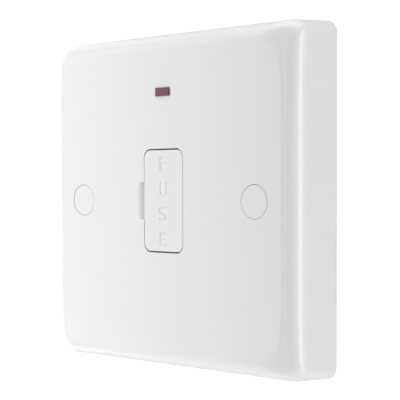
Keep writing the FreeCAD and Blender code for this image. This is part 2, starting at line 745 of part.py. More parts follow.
def build_clips():
    """Folded strips: a foot under the terminal, a riser over the pedestal, and two sprung jaws."""
    for label, row in ROWS.items():
        body = new_body(label + "_clip")
        strip = new_sketch(body, "strip", "YZ_Plane")
        inner_end = times(row, "(clip_height - jaw_width / 2)")
        outer_end = times(row, "terminal_end")
        riser_inside = times(row, "pedestal_outer")
        riser_outside = times(row, "(pedestal_outer + strip_thickness)")
        base_back = "(-clip_base_ahead)"
        base_front = "(-clip_base_ahead - strip_thickness)"
        foot_back = minus("floor_ahead")
        foot_front = minus("terminal_back")
        draw_outline(strip, [
            (base_back, inner_end),
            (base_front, inner_end),
            (base_front, riser_outside),
            (foot_front, riser_outside),
            (foot_front, outer_end),
            (foot_back, outer_end),
            (foot_back, riser_inside),
            (base_back, riser_inside),
        ])
        pad(body, "folded_strip", strip, "strip_width", symmetric=True)
        bends = ((number(base_front), number(riser_outside)), (number(foot_back), number(riser_inside)))
        fillet(body, "bends", "strip_bend", lambda edge: any(
            edge.BoundBox.XLength > NEAR
            and abs(edge.CenterOfMass.y - depth) < NEAR
            and abs(edge.CenterOfMass.z - height) < NEAR
            for depth, height in bends
        ))

        contact = "(fuse_cap_radius + jaw_clearance)"
        root = "(fuse_cap_radius + jaw_clearance + jaw_root_gap)"
        tip = "(fuse_cap_radius + jaw_clearance + jaw_flare)"
        axis = minus("fuse_ahead")
        knee = "(jaw_knee - fuse_ahead)"
        tip_depth = "(-fuse_ahead - jaw_flare_length)"
        half = [
            (root, base_front),
            (root, knee),
            (contact, axis),
            (tip, tip_depth),
            (tip + " + jaw_thickness", tip_depth),
            (contact + " + jaw_thickness", axis),
            (root + " + jaw_thickness", knee),
            (root + " + jaw_thickness", base_back),
        ]
        other_half = [("-(%s)" % across, depth) for across, depth in reversed(half)]
        jaws = new_sketch(body, "jaws", "XY_Plane", times(row, "clip_height"))
        draw_outline(jaws, half + other_half)
        pad(body, "jaw_pair", jaws, "jaw_width", symmetric=True)
        hole = new_sketch(body, "screw_hole", offset="floor_ahead")
        draw_circle(hole, "0", times(row, "terminal_height"), "clamp_screw_radius + strip_hole_clearance")
        cut(body, "screw_hole_through", hole, "strip_thickness")


def build_links():
    """Flat strips under the two terminals of a pole."""
    hole = "clamp_screw_radius + strip_hole_clearance"
    for pole in ("neutral", "earth"):
        body = new_body(pole + "_link")
        line = times(POLES[pole], "terminal_pitch")
        strip = new_sketch(body, "strip", offset="floor_ahead")
        draw_centred_box(strip, line, "0", "strip_width", "(2 * terminal_end)")
        for row in ROWS.values():
            draw_circle(strip, line, times(row, "terminal_height"), hole)
        pad(body, "flat_strip", strip, "strip_thickness")


# Terminals

def build_terminals():
    """Brass pillar blocks, bored upright for the wire and tapped from behind for the clamping screw."""
    for pole, side in POLES.items():
        for row_name, row in ROWS.items():
            line = times(side, "terminal_pitch")
            level = times(row, "terminal_height")
            body = new_body("%s_%s_terminal" % (pole, row_name))
            block = new_sketch(body, "block", offset="terminal_back")
            draw_centred_box(block, line, level, "terminal_width", "terminal_length")
            pad(body, "pillar", block, "terminal_depth")
            fillet(body, "edges", "terminal_edge", lambda edge: edge.BoundBox.YLength > NEAR)
            bore = new_sketch(body, "wire_bore", "XY_Plane", level)
            draw_circle(bore, line, minus("bore_ahead"), "wire_bore_radius")
            cut(body, "wire_bore_through", bore, "2 * terminal_length", symmetric=True)
            thread = new_sketch(body, "tapping", offset="terminal_back")
            draw_circle(thread, line, level, "clamp_screw_radius + clamp_screw_fit")
            cut(body, "tapping_sink", thread, "bore_ahead - terminal_back")

            screw = new_body("%s_%s_screw" % (pole, row_name))
            shank = new_sketch(screw, "shank", offset="clamp_end")
            draw_circle(shank, line, level, "clamp_screw_radius")
            pad(screw, "body", shank, "clamp_screw_length")
            slot = new_sketch(screw, "slot", offset="clamp_end")
            draw_centred_box(slot, line, level, "(3 * clamp_screw_radius)", "clamp_slot_width")
            cut(screw, "slot_sink", slot, "clamp_slot_depth")


# Rear tray

def barrier_corners(side):
    """Outline of the wall between two poles, stepped outward past the carrier rails."""
    inner_line = "(terminal_pitch / 2 - barrier_thickness / 2)"
    outer_line = "(terminal_pitch / 2 + barrier_thickness / 2)"
    step_outside = "(barrier_x + barrier_thickness)"
    end = "(terminal_end + root_overlap)"
    low = "(pedestal_outer - barrier_thickness)"
    high = "pedestal_outer"
    upper = [
        ("barrier_x", low),
        (inner_line, low),
        (inner_line, end),
        (outer_line, end),
        (outer_line, high),
        (step_outside, high),
    ]
    lower = [(across, minus(up)) for across, up in reversed(upper)]
    return [(times(side, across), up) for across, up in upper + lower]


def build_base_ribs(body):
    barriers = new_sketch(body, "barriers", offset="root_ahead")
    for side in SIDES.values():
        draw_outline(barriers, barrier_corners(side))
    pad(body, "barrier_pair", barriers, "barrier_front - root_ahead")

    cheeks = new_sketch(body, "cheeks", offset="root_ahead")
    for pole in POLES.values():
        for side in SIDES.values():
            for row in ROWS.values():
                line = times(pole, "terminal_pitch")
                near = "%s + %s" % (line, times(side, "cheek_x"))
                far = "%s + %s" % (line, times(side, "(cheek_x + cheek_thickness)"))
                end = "(terminal_end + root_overlap)"
                draw_box(cheeks, near, far, times(row, "terminal_start"), times(row, end))
    pad(body, "cheek_set", cheeks, "cheek_height + root_overlap")


def build_pedestals(body):
    """Blocks that carry the clips, cored out from behind."""
    pedestals = new_sketch(body, "pedestals", offset="root_ahead")
    cores = new_sketch(body, "pedestal_cores", offset="-base_rear")
    for row in ROWS.values():
        draw_box(
            pedestals,
            "-pedestal_width / 2",
            "pedestal_width / 2",
            times(row, "pedestal_inner"),
            times(row, "pedestal_outer"),
        )
        draw_box(
            cores,
            "pedestal_wall - pedestal_width / 2",
            "pedestal_width / 2 - pedestal_wall",
            times(row, "(pedestal_inner + pedestal_wall)"),
            times(row, "(pedestal_outer - pedestal_wall)"),
        )
    pad(body, "pedestal_pair", pedestals, "clip_base_ahead - root_ahead")
    cut(body, "pedestal_cores_sink", cores, "base_rear + clip_base_ahead - pedestal_wall")


def build_base_holes(body):
    for pole, side in POLES.items():
        line = times(side, "terminal_pitch")
        for row_name, row in ROWS.items():
            label = "%s_%s_entry" % (pole, row_name)
            entry = new_sketch(body, label, "XY_Plane", times(row, "terminal_end"))
            draw_circle(entry, line, minus("bore_ahead"), "wire_bore_radius + wire_entry_clearance")
            cut(body, label + "_through", entry, "2 * base_wall", backward=row < 0)

    access = new_sketch(body, "access_holes", offset="-base_rear")
    hole = "clamp_screw_radius + access_hole_clearance"
    for pole in POLES.values():
        for row in ROWS.values():
            line = times(pole, "terminal_pitch")
            draw_circle(access, line, times(row, "terminal_height"), hole)
    cut(body, "access_holes_through", access, "base_floor")


def build_posts(body):
    posts = new_sketch(body, "posts", offset="root_ahead")
    heads = new_sketch(body, "head_holes", offset="-base_rear")
    shanks = new_sketch(body, "shank_holes", offset="-base_rear")
    for side in SIDES.values():
        for row in ROWS.values():
            across = times(side, "post_x")
            up = times(row, "post_height")
            draw_circle(posts, across, up, "post_radius")
            draw_circle(heads, across, up, "head_hole_radius")
            draw_circle(shanks, across, up, "base_screw_radius + base_screw_fit")
    pad(body, "post_set", posts, "base_front - root_ahead")
    cut(body, "head_holes_sink", heads, "base_rear + post_seat")
    cut(body, "shank_holes_through", shanks, "base_rear + base_front")


def build_rear_base():
    body = new_body("rear_base")
    outside = new_sketch(body, "outside", offset="-base_rear")
    draw_rounded_box(outside, "base_half_width", "base_half_height", "base_corner")
    pad(body, "block", outside, "base_rear + base_front")
    fillet(body, "rear_edge", "base_edge", lambda edge: lies_ahead(edge, number("-base_rear")))
    inside = new_sketch(body, "inside", offset="floor_ahead")
    draw_rounded_box(
        inside,
        "(base_half_width - base_wall)",
        "(base_half_height - base_wall)",
        "(base_corner - base_wall)",
    )
    cut(body, "hollow", inside, "base_front - floor_ahead")
    build_base_ribs(body)
    build_pedestals(body)
    build_posts(body)
    build_base_holes(body)


def build_base_screws():
    for row_name, row in (("upper", 1), ("lower", -1)):
        for label, side in SIDES.items():
            body = new_body("base_screw_%s_%s" % (row_name, label))
            across = times(side, "post_x")
            up = times(row, "post_height")
            head = new_sketch(body, "head", offset="post_seat - base_screw_head_depth")
            draw_circle(head, across, up, "base_screw_head_radius")
            pad(body, "pan", head, "base_screw_head_depth")
            rear = number("post_seat - base_screw_head_depth")
            chamfer(body, "pan_edge", "base_screw_head_edge", lambda edge: lies_ahead(edge, rear))
            shank = new_sketch(body, "shank", offset="post_seat")
            draw_circle(shank, across, up, "base_screw_radius")
            pad(body, "thread", shank, "base_screw_length")


# Neon indicator

def build_lens():
    body = new_body("neon_lens")
    flange = new_sketch(body, "flange", offset="lens_back")
    draw_centred_box(
        flange,
        "0",
        "lens_height",
        "(lens_width + 2 * lens_flange)",
        "(lens_tall + 2 * lens_flange)",
    )
    pad(body, "flange_plate", flange, "lens_flange_depth")
    window = new_sketch(body, "window", offset="lens_back")
    draw_rounded_box(window, "(lens_width / 2)", "(lens_tall / 2)", "lens_corner", "lens_height")
    pad(body, "window_block", window, "plate_depth + lens_proud - lens_back")


def build_round_component(label, radius, length, middle):
    """A closed cylinder that lies across the plate at the lamp's level."""
    body = new_body(label)
    section = new_sketch(body, "section", "YZ_Plane", middle)
    draw_circle(section, minus("lamp_ahead"), "lens_height", radius)
    pad(body, "barrel", section, length, symmetric=True)
    return body


def rounded_path(points, share=0.45):
    """Straight runs joined by tangent arcs, each as large as its shorter run allows."""
    edges = []
    start = points[0]
    for before, corner, after in zip(points, points[1:], points[2:]):
        arriving = (corner - before).normalize()
        leaving = (after - corner).normalize()
        reach = share * min((corner - before).Length, (after - corner).Length)
        entry = corner - arriving * reach
        leave = corner + leaving * reach
        radius = reach / math.tan(arriving.getAngle(leaving) / 2)
        inward = (leaving - arriving).normalize()
        centre = corner + inward * math.hypot(radius, reach)
        apex = centre - inward * radius
        edges.append(Part.makeLine(start, entry))
        edges.append(Part.Arc(entry, apex, leave).toShape())
        start = leave
    edges.append(Part.makeLine(start, points[-1]))
    return Part.Wire(edges)


def build_lead(label, points):
    """Round lead along a bent route, its ends flat against what it joins."""
    route = rounded_path([Vector(number(x), -number(ahead), number(z)) for x, ahead, z in points])
    first = route.Edges[0]
    start = first.valueAt(first.FirstParameter)
    heading = first.tangentAt(first.FirstParameter)
    profile = Part.Wire([Part.makeCircle(number("lead_radius"), start, heading)])
    lead = doc.addObject("Part::Feature", label)
    lead.Shape = route.makePipeShell([profile], True, False)
    lead.Label = label
    lead.Placement = FreeCAD.Placement()
    parts.append(lead)


def build_indicator():
    build_lens()
    lamp = build_round_component("neon_lamp", "lamp_radius", "2 * lamp_half", "0")
    fillet(lamp, "ends", "lamp_end", lambda edge: circle_radius(edge) > 0)
    resistor_right = "(-lamp_half - lead_link)"
    resistor_left = "(-lamp_half - lead_link - resistor_length)"
    middle = "(-lamp_half - lead_link - resistor_length / 2)"
    resistor = build_round_component("neon_resistor", "resistor_radius", "resistor_length", middle)
    chamfer(resistor, "ends", "resistor_end", lambda edge: circle_radius(edge) > 0)

    link = new_body("neon_bridge_lead")
    section = new_sketch(link, "section", "YZ_Plane", resistor_right)
    draw_circle(section, minus("lamp_ahead"), "lens_height", "lead_radius")
    pad(link, "wire", section, "lead_link")

    level = "(terminal_end - lead_inset)"
    turn = "(terminal_front + lead_rise)"
    for label, start, side, landing in (
        ("neon_live_lead", "lamp_half", 1, "lead_offset"),
        ("neon_neutral_lead", resistor_left, -1, "(-terminal_pitch - lead_offset)"),
    ):
        out = "(%s + %d * lead_reach)" % (start, side)
        build_lead(label, [
            (start, "lamp_ahead", "lens_height"),
            (out, "lamp_ahead", "lens_height"),
            (out, "((lamp_ahead + %s) / 2)" % turn, level),
            (landing, turn, level),
            (landing, "terminal_front", level),
        ])


def check_model():
    """Stops before anything is written if a feature failed or a piece is not a sound solid."""
    for item in doc.Objects:
        if "Invalid" in item.State or "Error" in item.State:
            raise RuntimeError("%s failed: %s" % (item.Name, item.State))
        if item.isDerivedFrom("PartDesign::Pocket") or item.isDerivedFrom("PartDesign::SubtractiveLoft"):
            if item.Shape.Volume >= item.BaseFeature.Shape.Volume - SMALLEST_CUT:
                raise RuntimeError(item.Name + " cuts nothing")
    for part in parts:
        if part.Shape.isNull() or not part.Shape.isValid() or len(part.Shape.Solids) != 1:
            raise RuntimeError(part.Label + " is not one sound solid")


def write_parts():
    os.makedirs("parts", exist_ok=True)
    for part in parts:
        part.Shape.exportStep("parts/%s.step" % part.Label)


fill_sheet()
build_front_plate()
build_rear_base()
build_base_screws()
build_screw_caps()
build_fuse_carrier()
build_fuse()
build_clips()
build_links()
build_terminals()
build_indicator()
doc.recompute()
check_model()
write_parts()
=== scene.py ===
import json
import math

import bmesh
import bpy
from mathutils import Matrix, Vector


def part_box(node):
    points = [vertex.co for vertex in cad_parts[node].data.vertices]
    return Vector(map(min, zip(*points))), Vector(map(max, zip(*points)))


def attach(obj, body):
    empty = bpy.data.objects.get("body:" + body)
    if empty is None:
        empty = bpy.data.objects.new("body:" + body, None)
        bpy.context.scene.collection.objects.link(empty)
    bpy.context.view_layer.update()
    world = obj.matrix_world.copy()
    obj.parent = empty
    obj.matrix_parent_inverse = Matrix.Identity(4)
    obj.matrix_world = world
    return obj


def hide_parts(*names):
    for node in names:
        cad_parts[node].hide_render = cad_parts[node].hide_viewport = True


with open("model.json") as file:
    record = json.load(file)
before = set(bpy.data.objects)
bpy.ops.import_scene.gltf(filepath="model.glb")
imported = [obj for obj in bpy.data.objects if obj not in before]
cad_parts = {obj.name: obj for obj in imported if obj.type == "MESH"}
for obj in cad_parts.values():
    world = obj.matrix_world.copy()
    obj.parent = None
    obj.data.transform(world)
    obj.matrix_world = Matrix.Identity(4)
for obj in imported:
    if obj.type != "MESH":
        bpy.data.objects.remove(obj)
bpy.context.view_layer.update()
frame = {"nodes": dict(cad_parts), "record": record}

NODES = frame["nodes"]
MM = 0.001

# Camera, fitted to the outline, the caps and the carrier in the photograph

CAMERA_YAW = 42.881                 # degrees to the right of straight ahead
CAMERA_PITCH = 2.994                # degrees above the horizon
CAMERA_ROLL = -0.232                # degrees about its line of sight
CAMERA_DISTANCE = 314.04 * MM
CAMERA_RIGHT = -1.201 * MM          # from the middle of the object, across the line of sight
CAMERA_UP = -11.817 * MM
FOCAL_PIXELS = 1194.3
SHIFT_PIXELS = 45.00                # keeps the upright edges of the plate upright
IMAGE_PIXELS = 400
SENSOR_WIDTH = 36.0
NEAREST_SEEN = 0.01
FARTHEST_SEEN = 50


def make_camera():
    yaw = math.radians(CAMERA_YAW)
    pitch = math.radians(CAMERA_PITCH)
    back = Vector((math.sin(yaw) * math.cos(pitch), -math.cos(yaw) * math.cos(pitch), math.sin(pitch)))
    right = (-back).cross(Vector((0, 0, 1))).normalized()
    up = right.cross(-back)
    roll = Matrix.Rotation(math.radians(CAMERA_ROLL), 3, back)
    right = roll @ right
    up = roll @ up
    data = bpy.data.cameras.new("photo_camera")
    data.sensor_width = SENSOR_WIDTH
    data.lens = FOCAL_PIXELS * SENSOR_WIDTH / IMAGE_PIXELS
    data.shift_y = SHIFT_PIXELS / IMAGE_PIXELS
    data.clip_start = NEAREST_SEEN
    data.clip_end = FARTHEST_SEEN
    camera = bpy.data.objects.new("photo_camera", data)
    bpy.context.scene.collection.objects.link(camera)
    turn = Matrix((right, up, back)).transposed().to_4x4()
    place = Matrix.Translation(back * CAMERA_DISTANCE + right * CAMERA_RIGHT + up * CAMERA_UP)
    camera.matrix_world = place @ turn
    bpy.context.scene.camera = camera


# Light: widths and heights of the softboxes in metres

BAR = (1.4, 0.25)
LOW_BAR = (0.5, 0.08)
SLIM_STRIP = (0.12, 1.3)
MIDDLE_STRIP = (0.2, 1.3)
WIDE_STRIP = (0.3, 1.3)
NEAR_STRIP = (0.12, 0.8)
PANEL = (0.8, 0.7)
FAR = 1.0                           # distance from the object in metres
BACKGROUND_STRENGTH = 1.2           # white where the camera sees the surroundings
DOME_STRENGTH = 0.0                 # the softboxes alone light the object

# Name, bearing and elevation in degrees, distance in metres, width and height, power in watts
LIGHTS = (
    ("overhead_front_bar", 0, 75, FAR, BAR, 4.6),
    ("overhead_bar", 0, 90, FAR, BAR, 1.9),
    ("overhead_rear_bar", 0, 105, FAR, BAR, 1.8),
    ("low_front_bar", 0, -75, 0.22, LOW_BAR, 0.08),
    ("right_strip_front", 82, 0, FAR, SLIM_STRIP, 1.9),
    ("right_strip_middle", 88, 0, FAR, SLIM_STRIP, 2.1),
    ("right_strip", 93, 0, FAR, SLIM_STRIP, 3.1),
    ("right_strip_rear", 98, 0, FAR, SLIM_STRIP, 0.5),
    ("front_strip", 0, 0, FAR, WIDE_STRIP, 2.0),
    ("front_left_strip", -40, 0, FAR, WIDE_STRIP, 1.3),
    ("left_strip", -60, 0, FAR, WIDE_STRIP, 2.4),
    ("rear_left_strip", -115, 0, FAR, MIDDLE_STRIP, 2.3),
    ("near_left_strip", -50, 0, 0.35, NEAR_STRIP, 0.65),
    ("near_front_strip", -30, 0, 0.3, NEAR_STRIP, 0.07),
    ("near_side_strip", -90, 0, 0.3, NEAR_STRIP, 0.4),
    ("rear_left_panel", -135, 0, FAR, PANEL, 2.8),
    ("rear_left_high_panel", -135, 40, FAR, PANEL, 0.6),
    ("rear_panel", 180, 0, FAR, PANEL, 0.95),
)


def softbox(name, azimuth, elevation, distance, size, power):
    """Rectangular light that faces the object: azimuth 0 is straight in front, 90 is to the right."""
    data = bpy.data.lights.new(name, "AREA")
    data.shape = "RECTANGLE"
    data.size = size[0]
    data.size_y = size[1]
    data.energy = power
    light = bpy.data.objects.new(name, data)
    light.visible_camera = False
    bpy.context.scene.collection.objects.link(light)
    turn = math.radians(azimuth)
    rise = math.radians(elevation)
    bearing = Vector((math.sin(turn) * math.cos(rise), -math.cos(turn) * math.cos(rise), math.sin(rise)))
    light.location = bearing * distance
    light.rotation_mode = "QUATERNION"
    light.rotation_quaternion = light.location.to_track_quat("Z", "Y")


def make_world():
    """White where the camera sees it directly, with a strength of its own for what it lights."""
    world = bpy.data.worlds.new("studio")
    bpy.context.scene.world = world
    world.use_nodes = True
    nodes = world.node_tree.nodes
    links = world.node_tree.links
    nodes.clear()
    output = nodes.new("ShaderNodeOutputWorld")
    mix = nodes.new("ShaderNodeMixShader")
    seen = nodes.new("ShaderNodeBackground")
    seen.inputs["Color"].default_value = (1, 1, 1, 1)
    seen.inputs["Strength"].default_value = BACKGROUND_STRENGTH
    dome = nodes.new("ShaderNodeBackground")
    dome.inputs["Color"].default_value = (1, 1, 1, 1)
    dome.inputs["Strength"].default_value = DOME_STRENGTH
    path = nodes.new("ShaderNodeLightPath")
    links.new(path.outputs["Is Camera Ray"], mix.inputs["Fac"])
    links.new(dome.outputs["Background"], mix.inputs[1])
    links.new(seen.outputs["Background"], mix.inputs[2])
    links.new(mix.outputs["Shader"], output.inputs["Surface"])


def make_lights():
    make_world()
    for light in LIGHTS:
        softbox(*light)


# Floor

FLOOR_LEVEL = -0.3
FLOOR_RADIUS = 0.55
FLOOR_SIDES = 96
FLOOR_DARK = (0.80, 0.80, 0.80)
FLOOR_LIGHT = (0.84, 0.84, 0.84)
FLOOR_TINT_SCALE = 6
FLOOR_ROUGHNESS = 0.9


def make_floor():
    """Round pale floor well below the plate, which hangs on a wall and stands on nothing."""
    mesh = bpy.data.meshes.new("floor")
    disc = bmesh.new()
    bmesh.ops.create_circle(disc, cap_ends=True, segments=FLOOR_SIDES, radius=FLOOR_RADIUS)
    disc.to_mesh(mesh)
    disc.free()
    floor = bpy.data.objects.new("floor", mesh)
    floor.location.z = FLOOR_LEVEL
    bpy.context.scene.collection.objects.link(floor)
    material, shader = new_material("pale_floor")
    tint_by_noise(material, shader, FLOOR_DARK, FLOOR_LIGHT, FLOOR_TINT_SCALE)
    shader.inputs["Roughness"].default_value = FLOOR_ROUGHNESS
    mesh.materials.append(material)


# Materials: noise scales are in cycles for each metre

EVEN = (1, 1, 1)                    # noise that isn't drawn out along any axis
SURFACE_DETAIL = 3.0
RELIEF_DETAIL = 2.0
TINT_BAND = (0.35, 0.65)            # the noise values between which a colour changes
ROUGH_BAND = (0.3, 0.7)             # the same for roughness

PLASTIC_TINT_SCALE = 120
PLASTIC_ROUGH_SCALE = 400
PLASTIC_RELIEF_SCALE = 2500
PLASTIC_IOR = 1.5
METAL_TINT_SCALE = 300
METAL_ROUGH_SCALE = 900
METAL_RELIEF_SCALE = 3000
METAL_RELIEF = 0.008 * MM
CLEAR_TINT_SCALE = 900
CLEAR_ROUGH_SCALE = 700
CLEAR_RELIEF_SCALE = 1800
CLEAR_RELIEF = 0.001 * MM

# Slot: name, darker and lighter colour, least and most roughness, depth of the relief
MOULDINGS = {
    "white_moulding": ("white_urea", (0.865, 0.865, 0.865), (0.87, 0.87, 0.87), 0.285, 0.295, 0.0004 * MM),
    "tray_moulding": ("tray_moulding", (0.74, 0.74, 0.73), (0.78, 0.78, 0.77), 0.42, 0.52, 0.006 * MM),
    "fuse_ceramic": ("fuse_ceramic", (0.78, 0.74, 0.65), (0.84, 0.80, 0.72), 0.55, 0.7, 0.01 * MM),
    "resistor_body": ("resistor_lacquer", (0.62, 0.47, 0.30), (0.70, 0.55, 0.36), 0.3, 0.4, 0.01 * MM),
    "lead_sleeve": ("lead_sleeve", (0.82, 0.80, 0.76), (0.88, 0.87, 0.84), 0.35, 0.45, 0.005 * MM),
}

# Slot: name, darker and lighter colour, least and most roughness, how much its noise is squeezed each way
METALS = {
    "plated_cap": ("nickel_plate", (0.62, 0.60, 0.56), (0.72, 0.70, 0.66), 0.18, 0.3, EVEN),
    "spring_bronze": ("spring_bronze", (0.60, 0.38, 0.19), (0.72, 0.48, 0.26), 0.25, 0.4, (1, 1, 8)),
    "link_brass": ("rolled_brass", (0.66, 0.49, 0.20), (0.78, 0.60, 0.28), 0.25, 0.4, (8, 1, 1)),
    "terminal_brass": ("machined_brass", (0.64, 0.46, 0.18), (0.77, 0.58, 0.26), 0.22, 0.36, (1, 1, 10)),
    "zinc_steel": ("zinc_plate", (0.55, 0.56, 0.58), (0.68, 0.69, 0.70), 0.28, 0.42, EVEN),
    "tinned_wire": ("tinned_wire", (0.60, 0.60, 0.60), (0.72, 0.72, 0.72), 0.25, 0.35, EVEN),
}

LENS_FACE = (0.134, 0.070, 0.077)   # the lens's red on its face, the lit copy beside the painted shade of its sides
# Painted shade: the dark red that the lens's sides take in place of real shading
LENS_SIDE_PAINTED_SHADE = (0.03, 0.004, 0.006)
LENS_DARKER = 0.94                  # share of the face's colour in its darker patches
LENS_ROUGHNESS = (0.28, 0.31)
LENS_IOR = 1.43
LENS_SPECULAR_TINT = (1, 0.5, 0.55, 1)
GLASS_COLOR = (0.92, 0.94, 0.93)
GLASS_DARKER = 0.96
GLASS_ROUGHNESS = (0.03, 0.05)
GLASS_IOR = 1.5
GLASS_TRANSMISSION = 0.95


def new_material(name):
    material = bpy.data.materials.new(name)
    material.use_nodes = True
    shader = material.node_tree.nodes["Principled BSDF"]
    return material, shader


def noise_at(material, scale, detail, stretch=EVEN):
    """Noise that stays put on the object."""
    nodes = material.node_tree.nodes
    links = material.node_tree.links
    where = nodes.new("ShaderNodeTexCoord")
    mapping = nodes.new("ShaderNodeMapping")
    mapping.inputs["Scale"].default_value = stretch
    noise = nodes.new("ShaderNodeTexNoise")
    noise.inputs["Scale"].default_value = scale
    noise.inputs["Detail"].default_value = detail
    links.new(where.outputs["Object"], mapping.inputs["Vector"])
    links.new(mapping.outputs["Vector"], noise.inputs["Vector"])
    return noise


def tint_by_noise(material, shader, dark, light, scale):
    nodes = material.node_tree.nodes
    links = material.node_tree.links
    ramp = nodes.new("ShaderNodeValToRGB")
    for element, position, color in zip(ramp.color_ramp.elements, TINT_BAND, (dark, light)):
        element.position = position
        element.color = (*color, 1)
    noise = noise_at(material, scale, SURFACE_DETAIL)
    links.new(noise.outputs["Fac"], ramp.inputs["Fac"])
    links.new(ramp.outputs["Color"], shader.inputs["Base Color"])


def roughen(material, shader, low, high, scale, stretch=EVEN):
    nodes = material.node_tree.nodes
    links = material.node_tree.links
    remap = nodes.new("ShaderNodeMapRange")
    remap.inputs["From Min"].default_value = ROUGH_BAND[0]
    remap.inputs["From Max"].default_value = ROUGH_BAND[1]
    remap.inputs["To Min"].default_value = low
    remap.inputs["To Max"].default_value = high
    noise = noise_at(material, scale, SURFACE_DETAIL, stretch)
    links.new(noise.outputs["Fac"], remap.inputs["Value"])
    links.new(remap.outputs["Result"], shader.inputs["Roughness"])


def bump(material, shader, depth, scale, stretch=EVEN):
    """Fine relief, its depth in metres."""
    nodes = material.node_tree.nodes
    links = material.node_tree.links
    relief = nodes.new("ShaderNodeBump")
    relief.inputs["Strength"].default_value = 1.0
    relief.inputs["Distance"].default_value = depth
    noise = noise_at(material, scale, RELIEF_DETAIL, stretch)
    links.new(noise.outputs["Fac"], relief.inputs["Height"])
    links.new(relief.outputs["Normal"], shader.inputs["Normal"])


def moulded_plastic(name, dark, light, rough_low, rough_high, depth):
    material, shader = new_material(name)
    tint_by_noise(material, shader, dark, light, PLASTIC_TINT_SCALE)
    roughen(material, shader, rough_low, rough_high, PLASTIC_ROUGH_SCALE)
    bump(material, shader, depth, PLASTIC_RELIEF_SCALE)
    shader.inputs["IOR"].default_value = PLASTIC_IOR
    return material


def metal(name, dark, light, rough_low, rough_high, stretch):
    material, shader = new_material(name)
    tint_by_noise(material, shader, dark, light, METAL_TINT_SCALE)
    roughen(material, shader, rough_low, rough_high, METAL_ROUGH_SCALE, stretch)
    bump(material, shader, METAL_RELIEF, METAL_RELIEF_SCALE, stretch)
    shader.inputs["Metallic"].default_value = 1.0
    return material


def clear_surface(material, shader, color, darker, roughness, ior):
    """What the lens and the glass of the lamp share."""
    tint_by_noise(material, shader, [darker * part for part in color], color, CLEAR_TINT_SCALE)
    roughen(material, shader, *roughness, CLEAR_ROUGH_SCALE)
    bump(material, shader, CLEAR_RELIEF, CLEAR_RELIEF_SCALE)
    shader.inputs["IOR"].default_value = ior


def lamp_glass():
    material, shader = new_material("lamp_glass")
    clear_surface(material, shader, GLASS_COLOR, GLASS_DARKER, GLASS_ROUGHNESS, GLASS_IOR)
    shader.inputs["Transmission Weight"].default_value = GLASS_TRANSMISSION
    return material


def lens_plastic():
    """Deep red window, with painted shade down its sides: the face's red darkens to a dark red as the
    surface turns away from facing forward.
    """
    material, shader = new_material("red_lens")
    clear_surface(material, shader, LENS_FACE, LENS_DARKER, LENS_ROUGHNESS, LENS_IOR)
    shader.inputs["Specular Tint"].default_value = LENS_SPECULAR_TINT
    nodes = material.node_tree.nodes
    links = material.node_tree.links
    # Painted shade: the face's red gives way to the dark side colour as the surface turns from facing
    # forward
    where = nodes.new("ShaderNodeTexCoord")
    parts = nodes.new("ShaderNodeSeparateXYZ")
    facing = nodes.new("ShaderNodeMath")
    facing.operation = "ABSOLUTE"
    mix = nodes.new("ShaderNodeMix")
    mix.data_type = "RGBA"
    mix.inputs["A"].default_value = (*LENS_SIDE_PAINTED_SHADE, 1)
    links.new(where.outputs["Normal"], parts.inputs["Vector"])
    links.new(parts.outputs["Y"], facing.inputs[0])
    links.new(facing.outputs["Value"], mix.inputs["Factor"])
    tint = shader.inputs["Base Color"].links[0]
    links.new(tint.from_socket, mix.inputs["B"])
    links.new(mix.outputs["Result"], shader.inputs["Base Color"])
    return material


def make_materials():
    made = {slot: moulded_plastic(*look) for slot, look in MOULDINGS.items()}
    made.update({slot: metal(*look) for slot, look in METALS.items()})
    made["lens_red"] = lens_plastic()
    made["lamp_glass"] = lamp_glass()
    return made


def dress_nodes():
    """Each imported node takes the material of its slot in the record."""
    for part in frame["record"]["subparts"]:
        mesh = NODES[part["node"]].data
        mesh.materials.clear()
        mesh.materials.append(MATERIALS[part["material_slot"]])


# Fitted pieces and engraving

PLATE_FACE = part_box("front_plate")[0].y
CAPITAL_SHARE = 0.682               # height of a capital in its typeface size
MOUTH = 0.03 * MM                   # how far each cutter stands out of the surface

CARRIER_WORD = "FUSE"
CARRIER_LETTER = 3.46 * MM          # height of a capital
CARRIER_PITCH = 6.4 * MM            # from letter to letter
CARRIER_DROP = 0.14 * MM            # how far the word sits below the middle of the carrier
CARRIER_STROKE = 0.03 * MM          # added to each side of the strokes of the typeface
CARRIER_SLOPE = 0.22 * MM           # width of each sloping side of a groove
CARRIER_GROOVE = 0.06 * MM          # depth of a groove
CARRIER_SPREAD = 0.1 * MM           # how much nearer to the plate each side of the carrier comes
CARRIER_BLOCK = 2.5 * MM            # how far behind its face the carrier is widened
LETTER_SIDES = {                    # left and right side of each letter, from the middle of the carrier
    "F": (-1.2 * MM, 0.95 * MM),
    "U": (-1.2 * MM, 1.38 * MM),
    "S": (-1.6 * MM, 1.35 * MM),
    "E": (-1.35 * MM, 1.1 * MM),
}

LENS_SPREAD = 0.1 * MM              # added to its left and right side
LENS_RISE = 0.055 * MM              # added to its top and bottom
LENS_PROUD = 0.3 * MM               # how far it stands out of the plate

CAP_ASIDE = -0.05 * MM              # where the right cap sits, from the middle of its recess
CAP_DOWN = -0.03 * MM

SCOOP_NEAR = -6.94 * MM             # edge of the carrier's opening
SCOOP_WIDTH = 1.9 * MM
SCOOP_HALF = 4.95 * MM              # half its height
SCOOP_LIP = 0.03 * MM               # depth at its far side
SCOOP_START = 0.03                  # slope at its far side
SCOOP_END = 0.62                    # slope at the carrier
SCOOP_STEPS = 12
SCOOP_ROOT = 0.4 * MM               # depth of its underside at its far side, inside the plate
SCOOP_ROOT_FALL = 1.4 * MM          # how much deeper its underside is at the carrier
SCOOP_SHARP = 35                    # degrees between two faces that meet in a sharp edge

TRAY_LETTER = 2.43 * MM             # height of a capital
TRAY_LETTER_SHIFT = 4.7 * MM        # from the middle of the screw hole towards the middle of the tray
TRAY_GROOVE = 0.15 * MM             # depth of a groove, and width of each sloping side

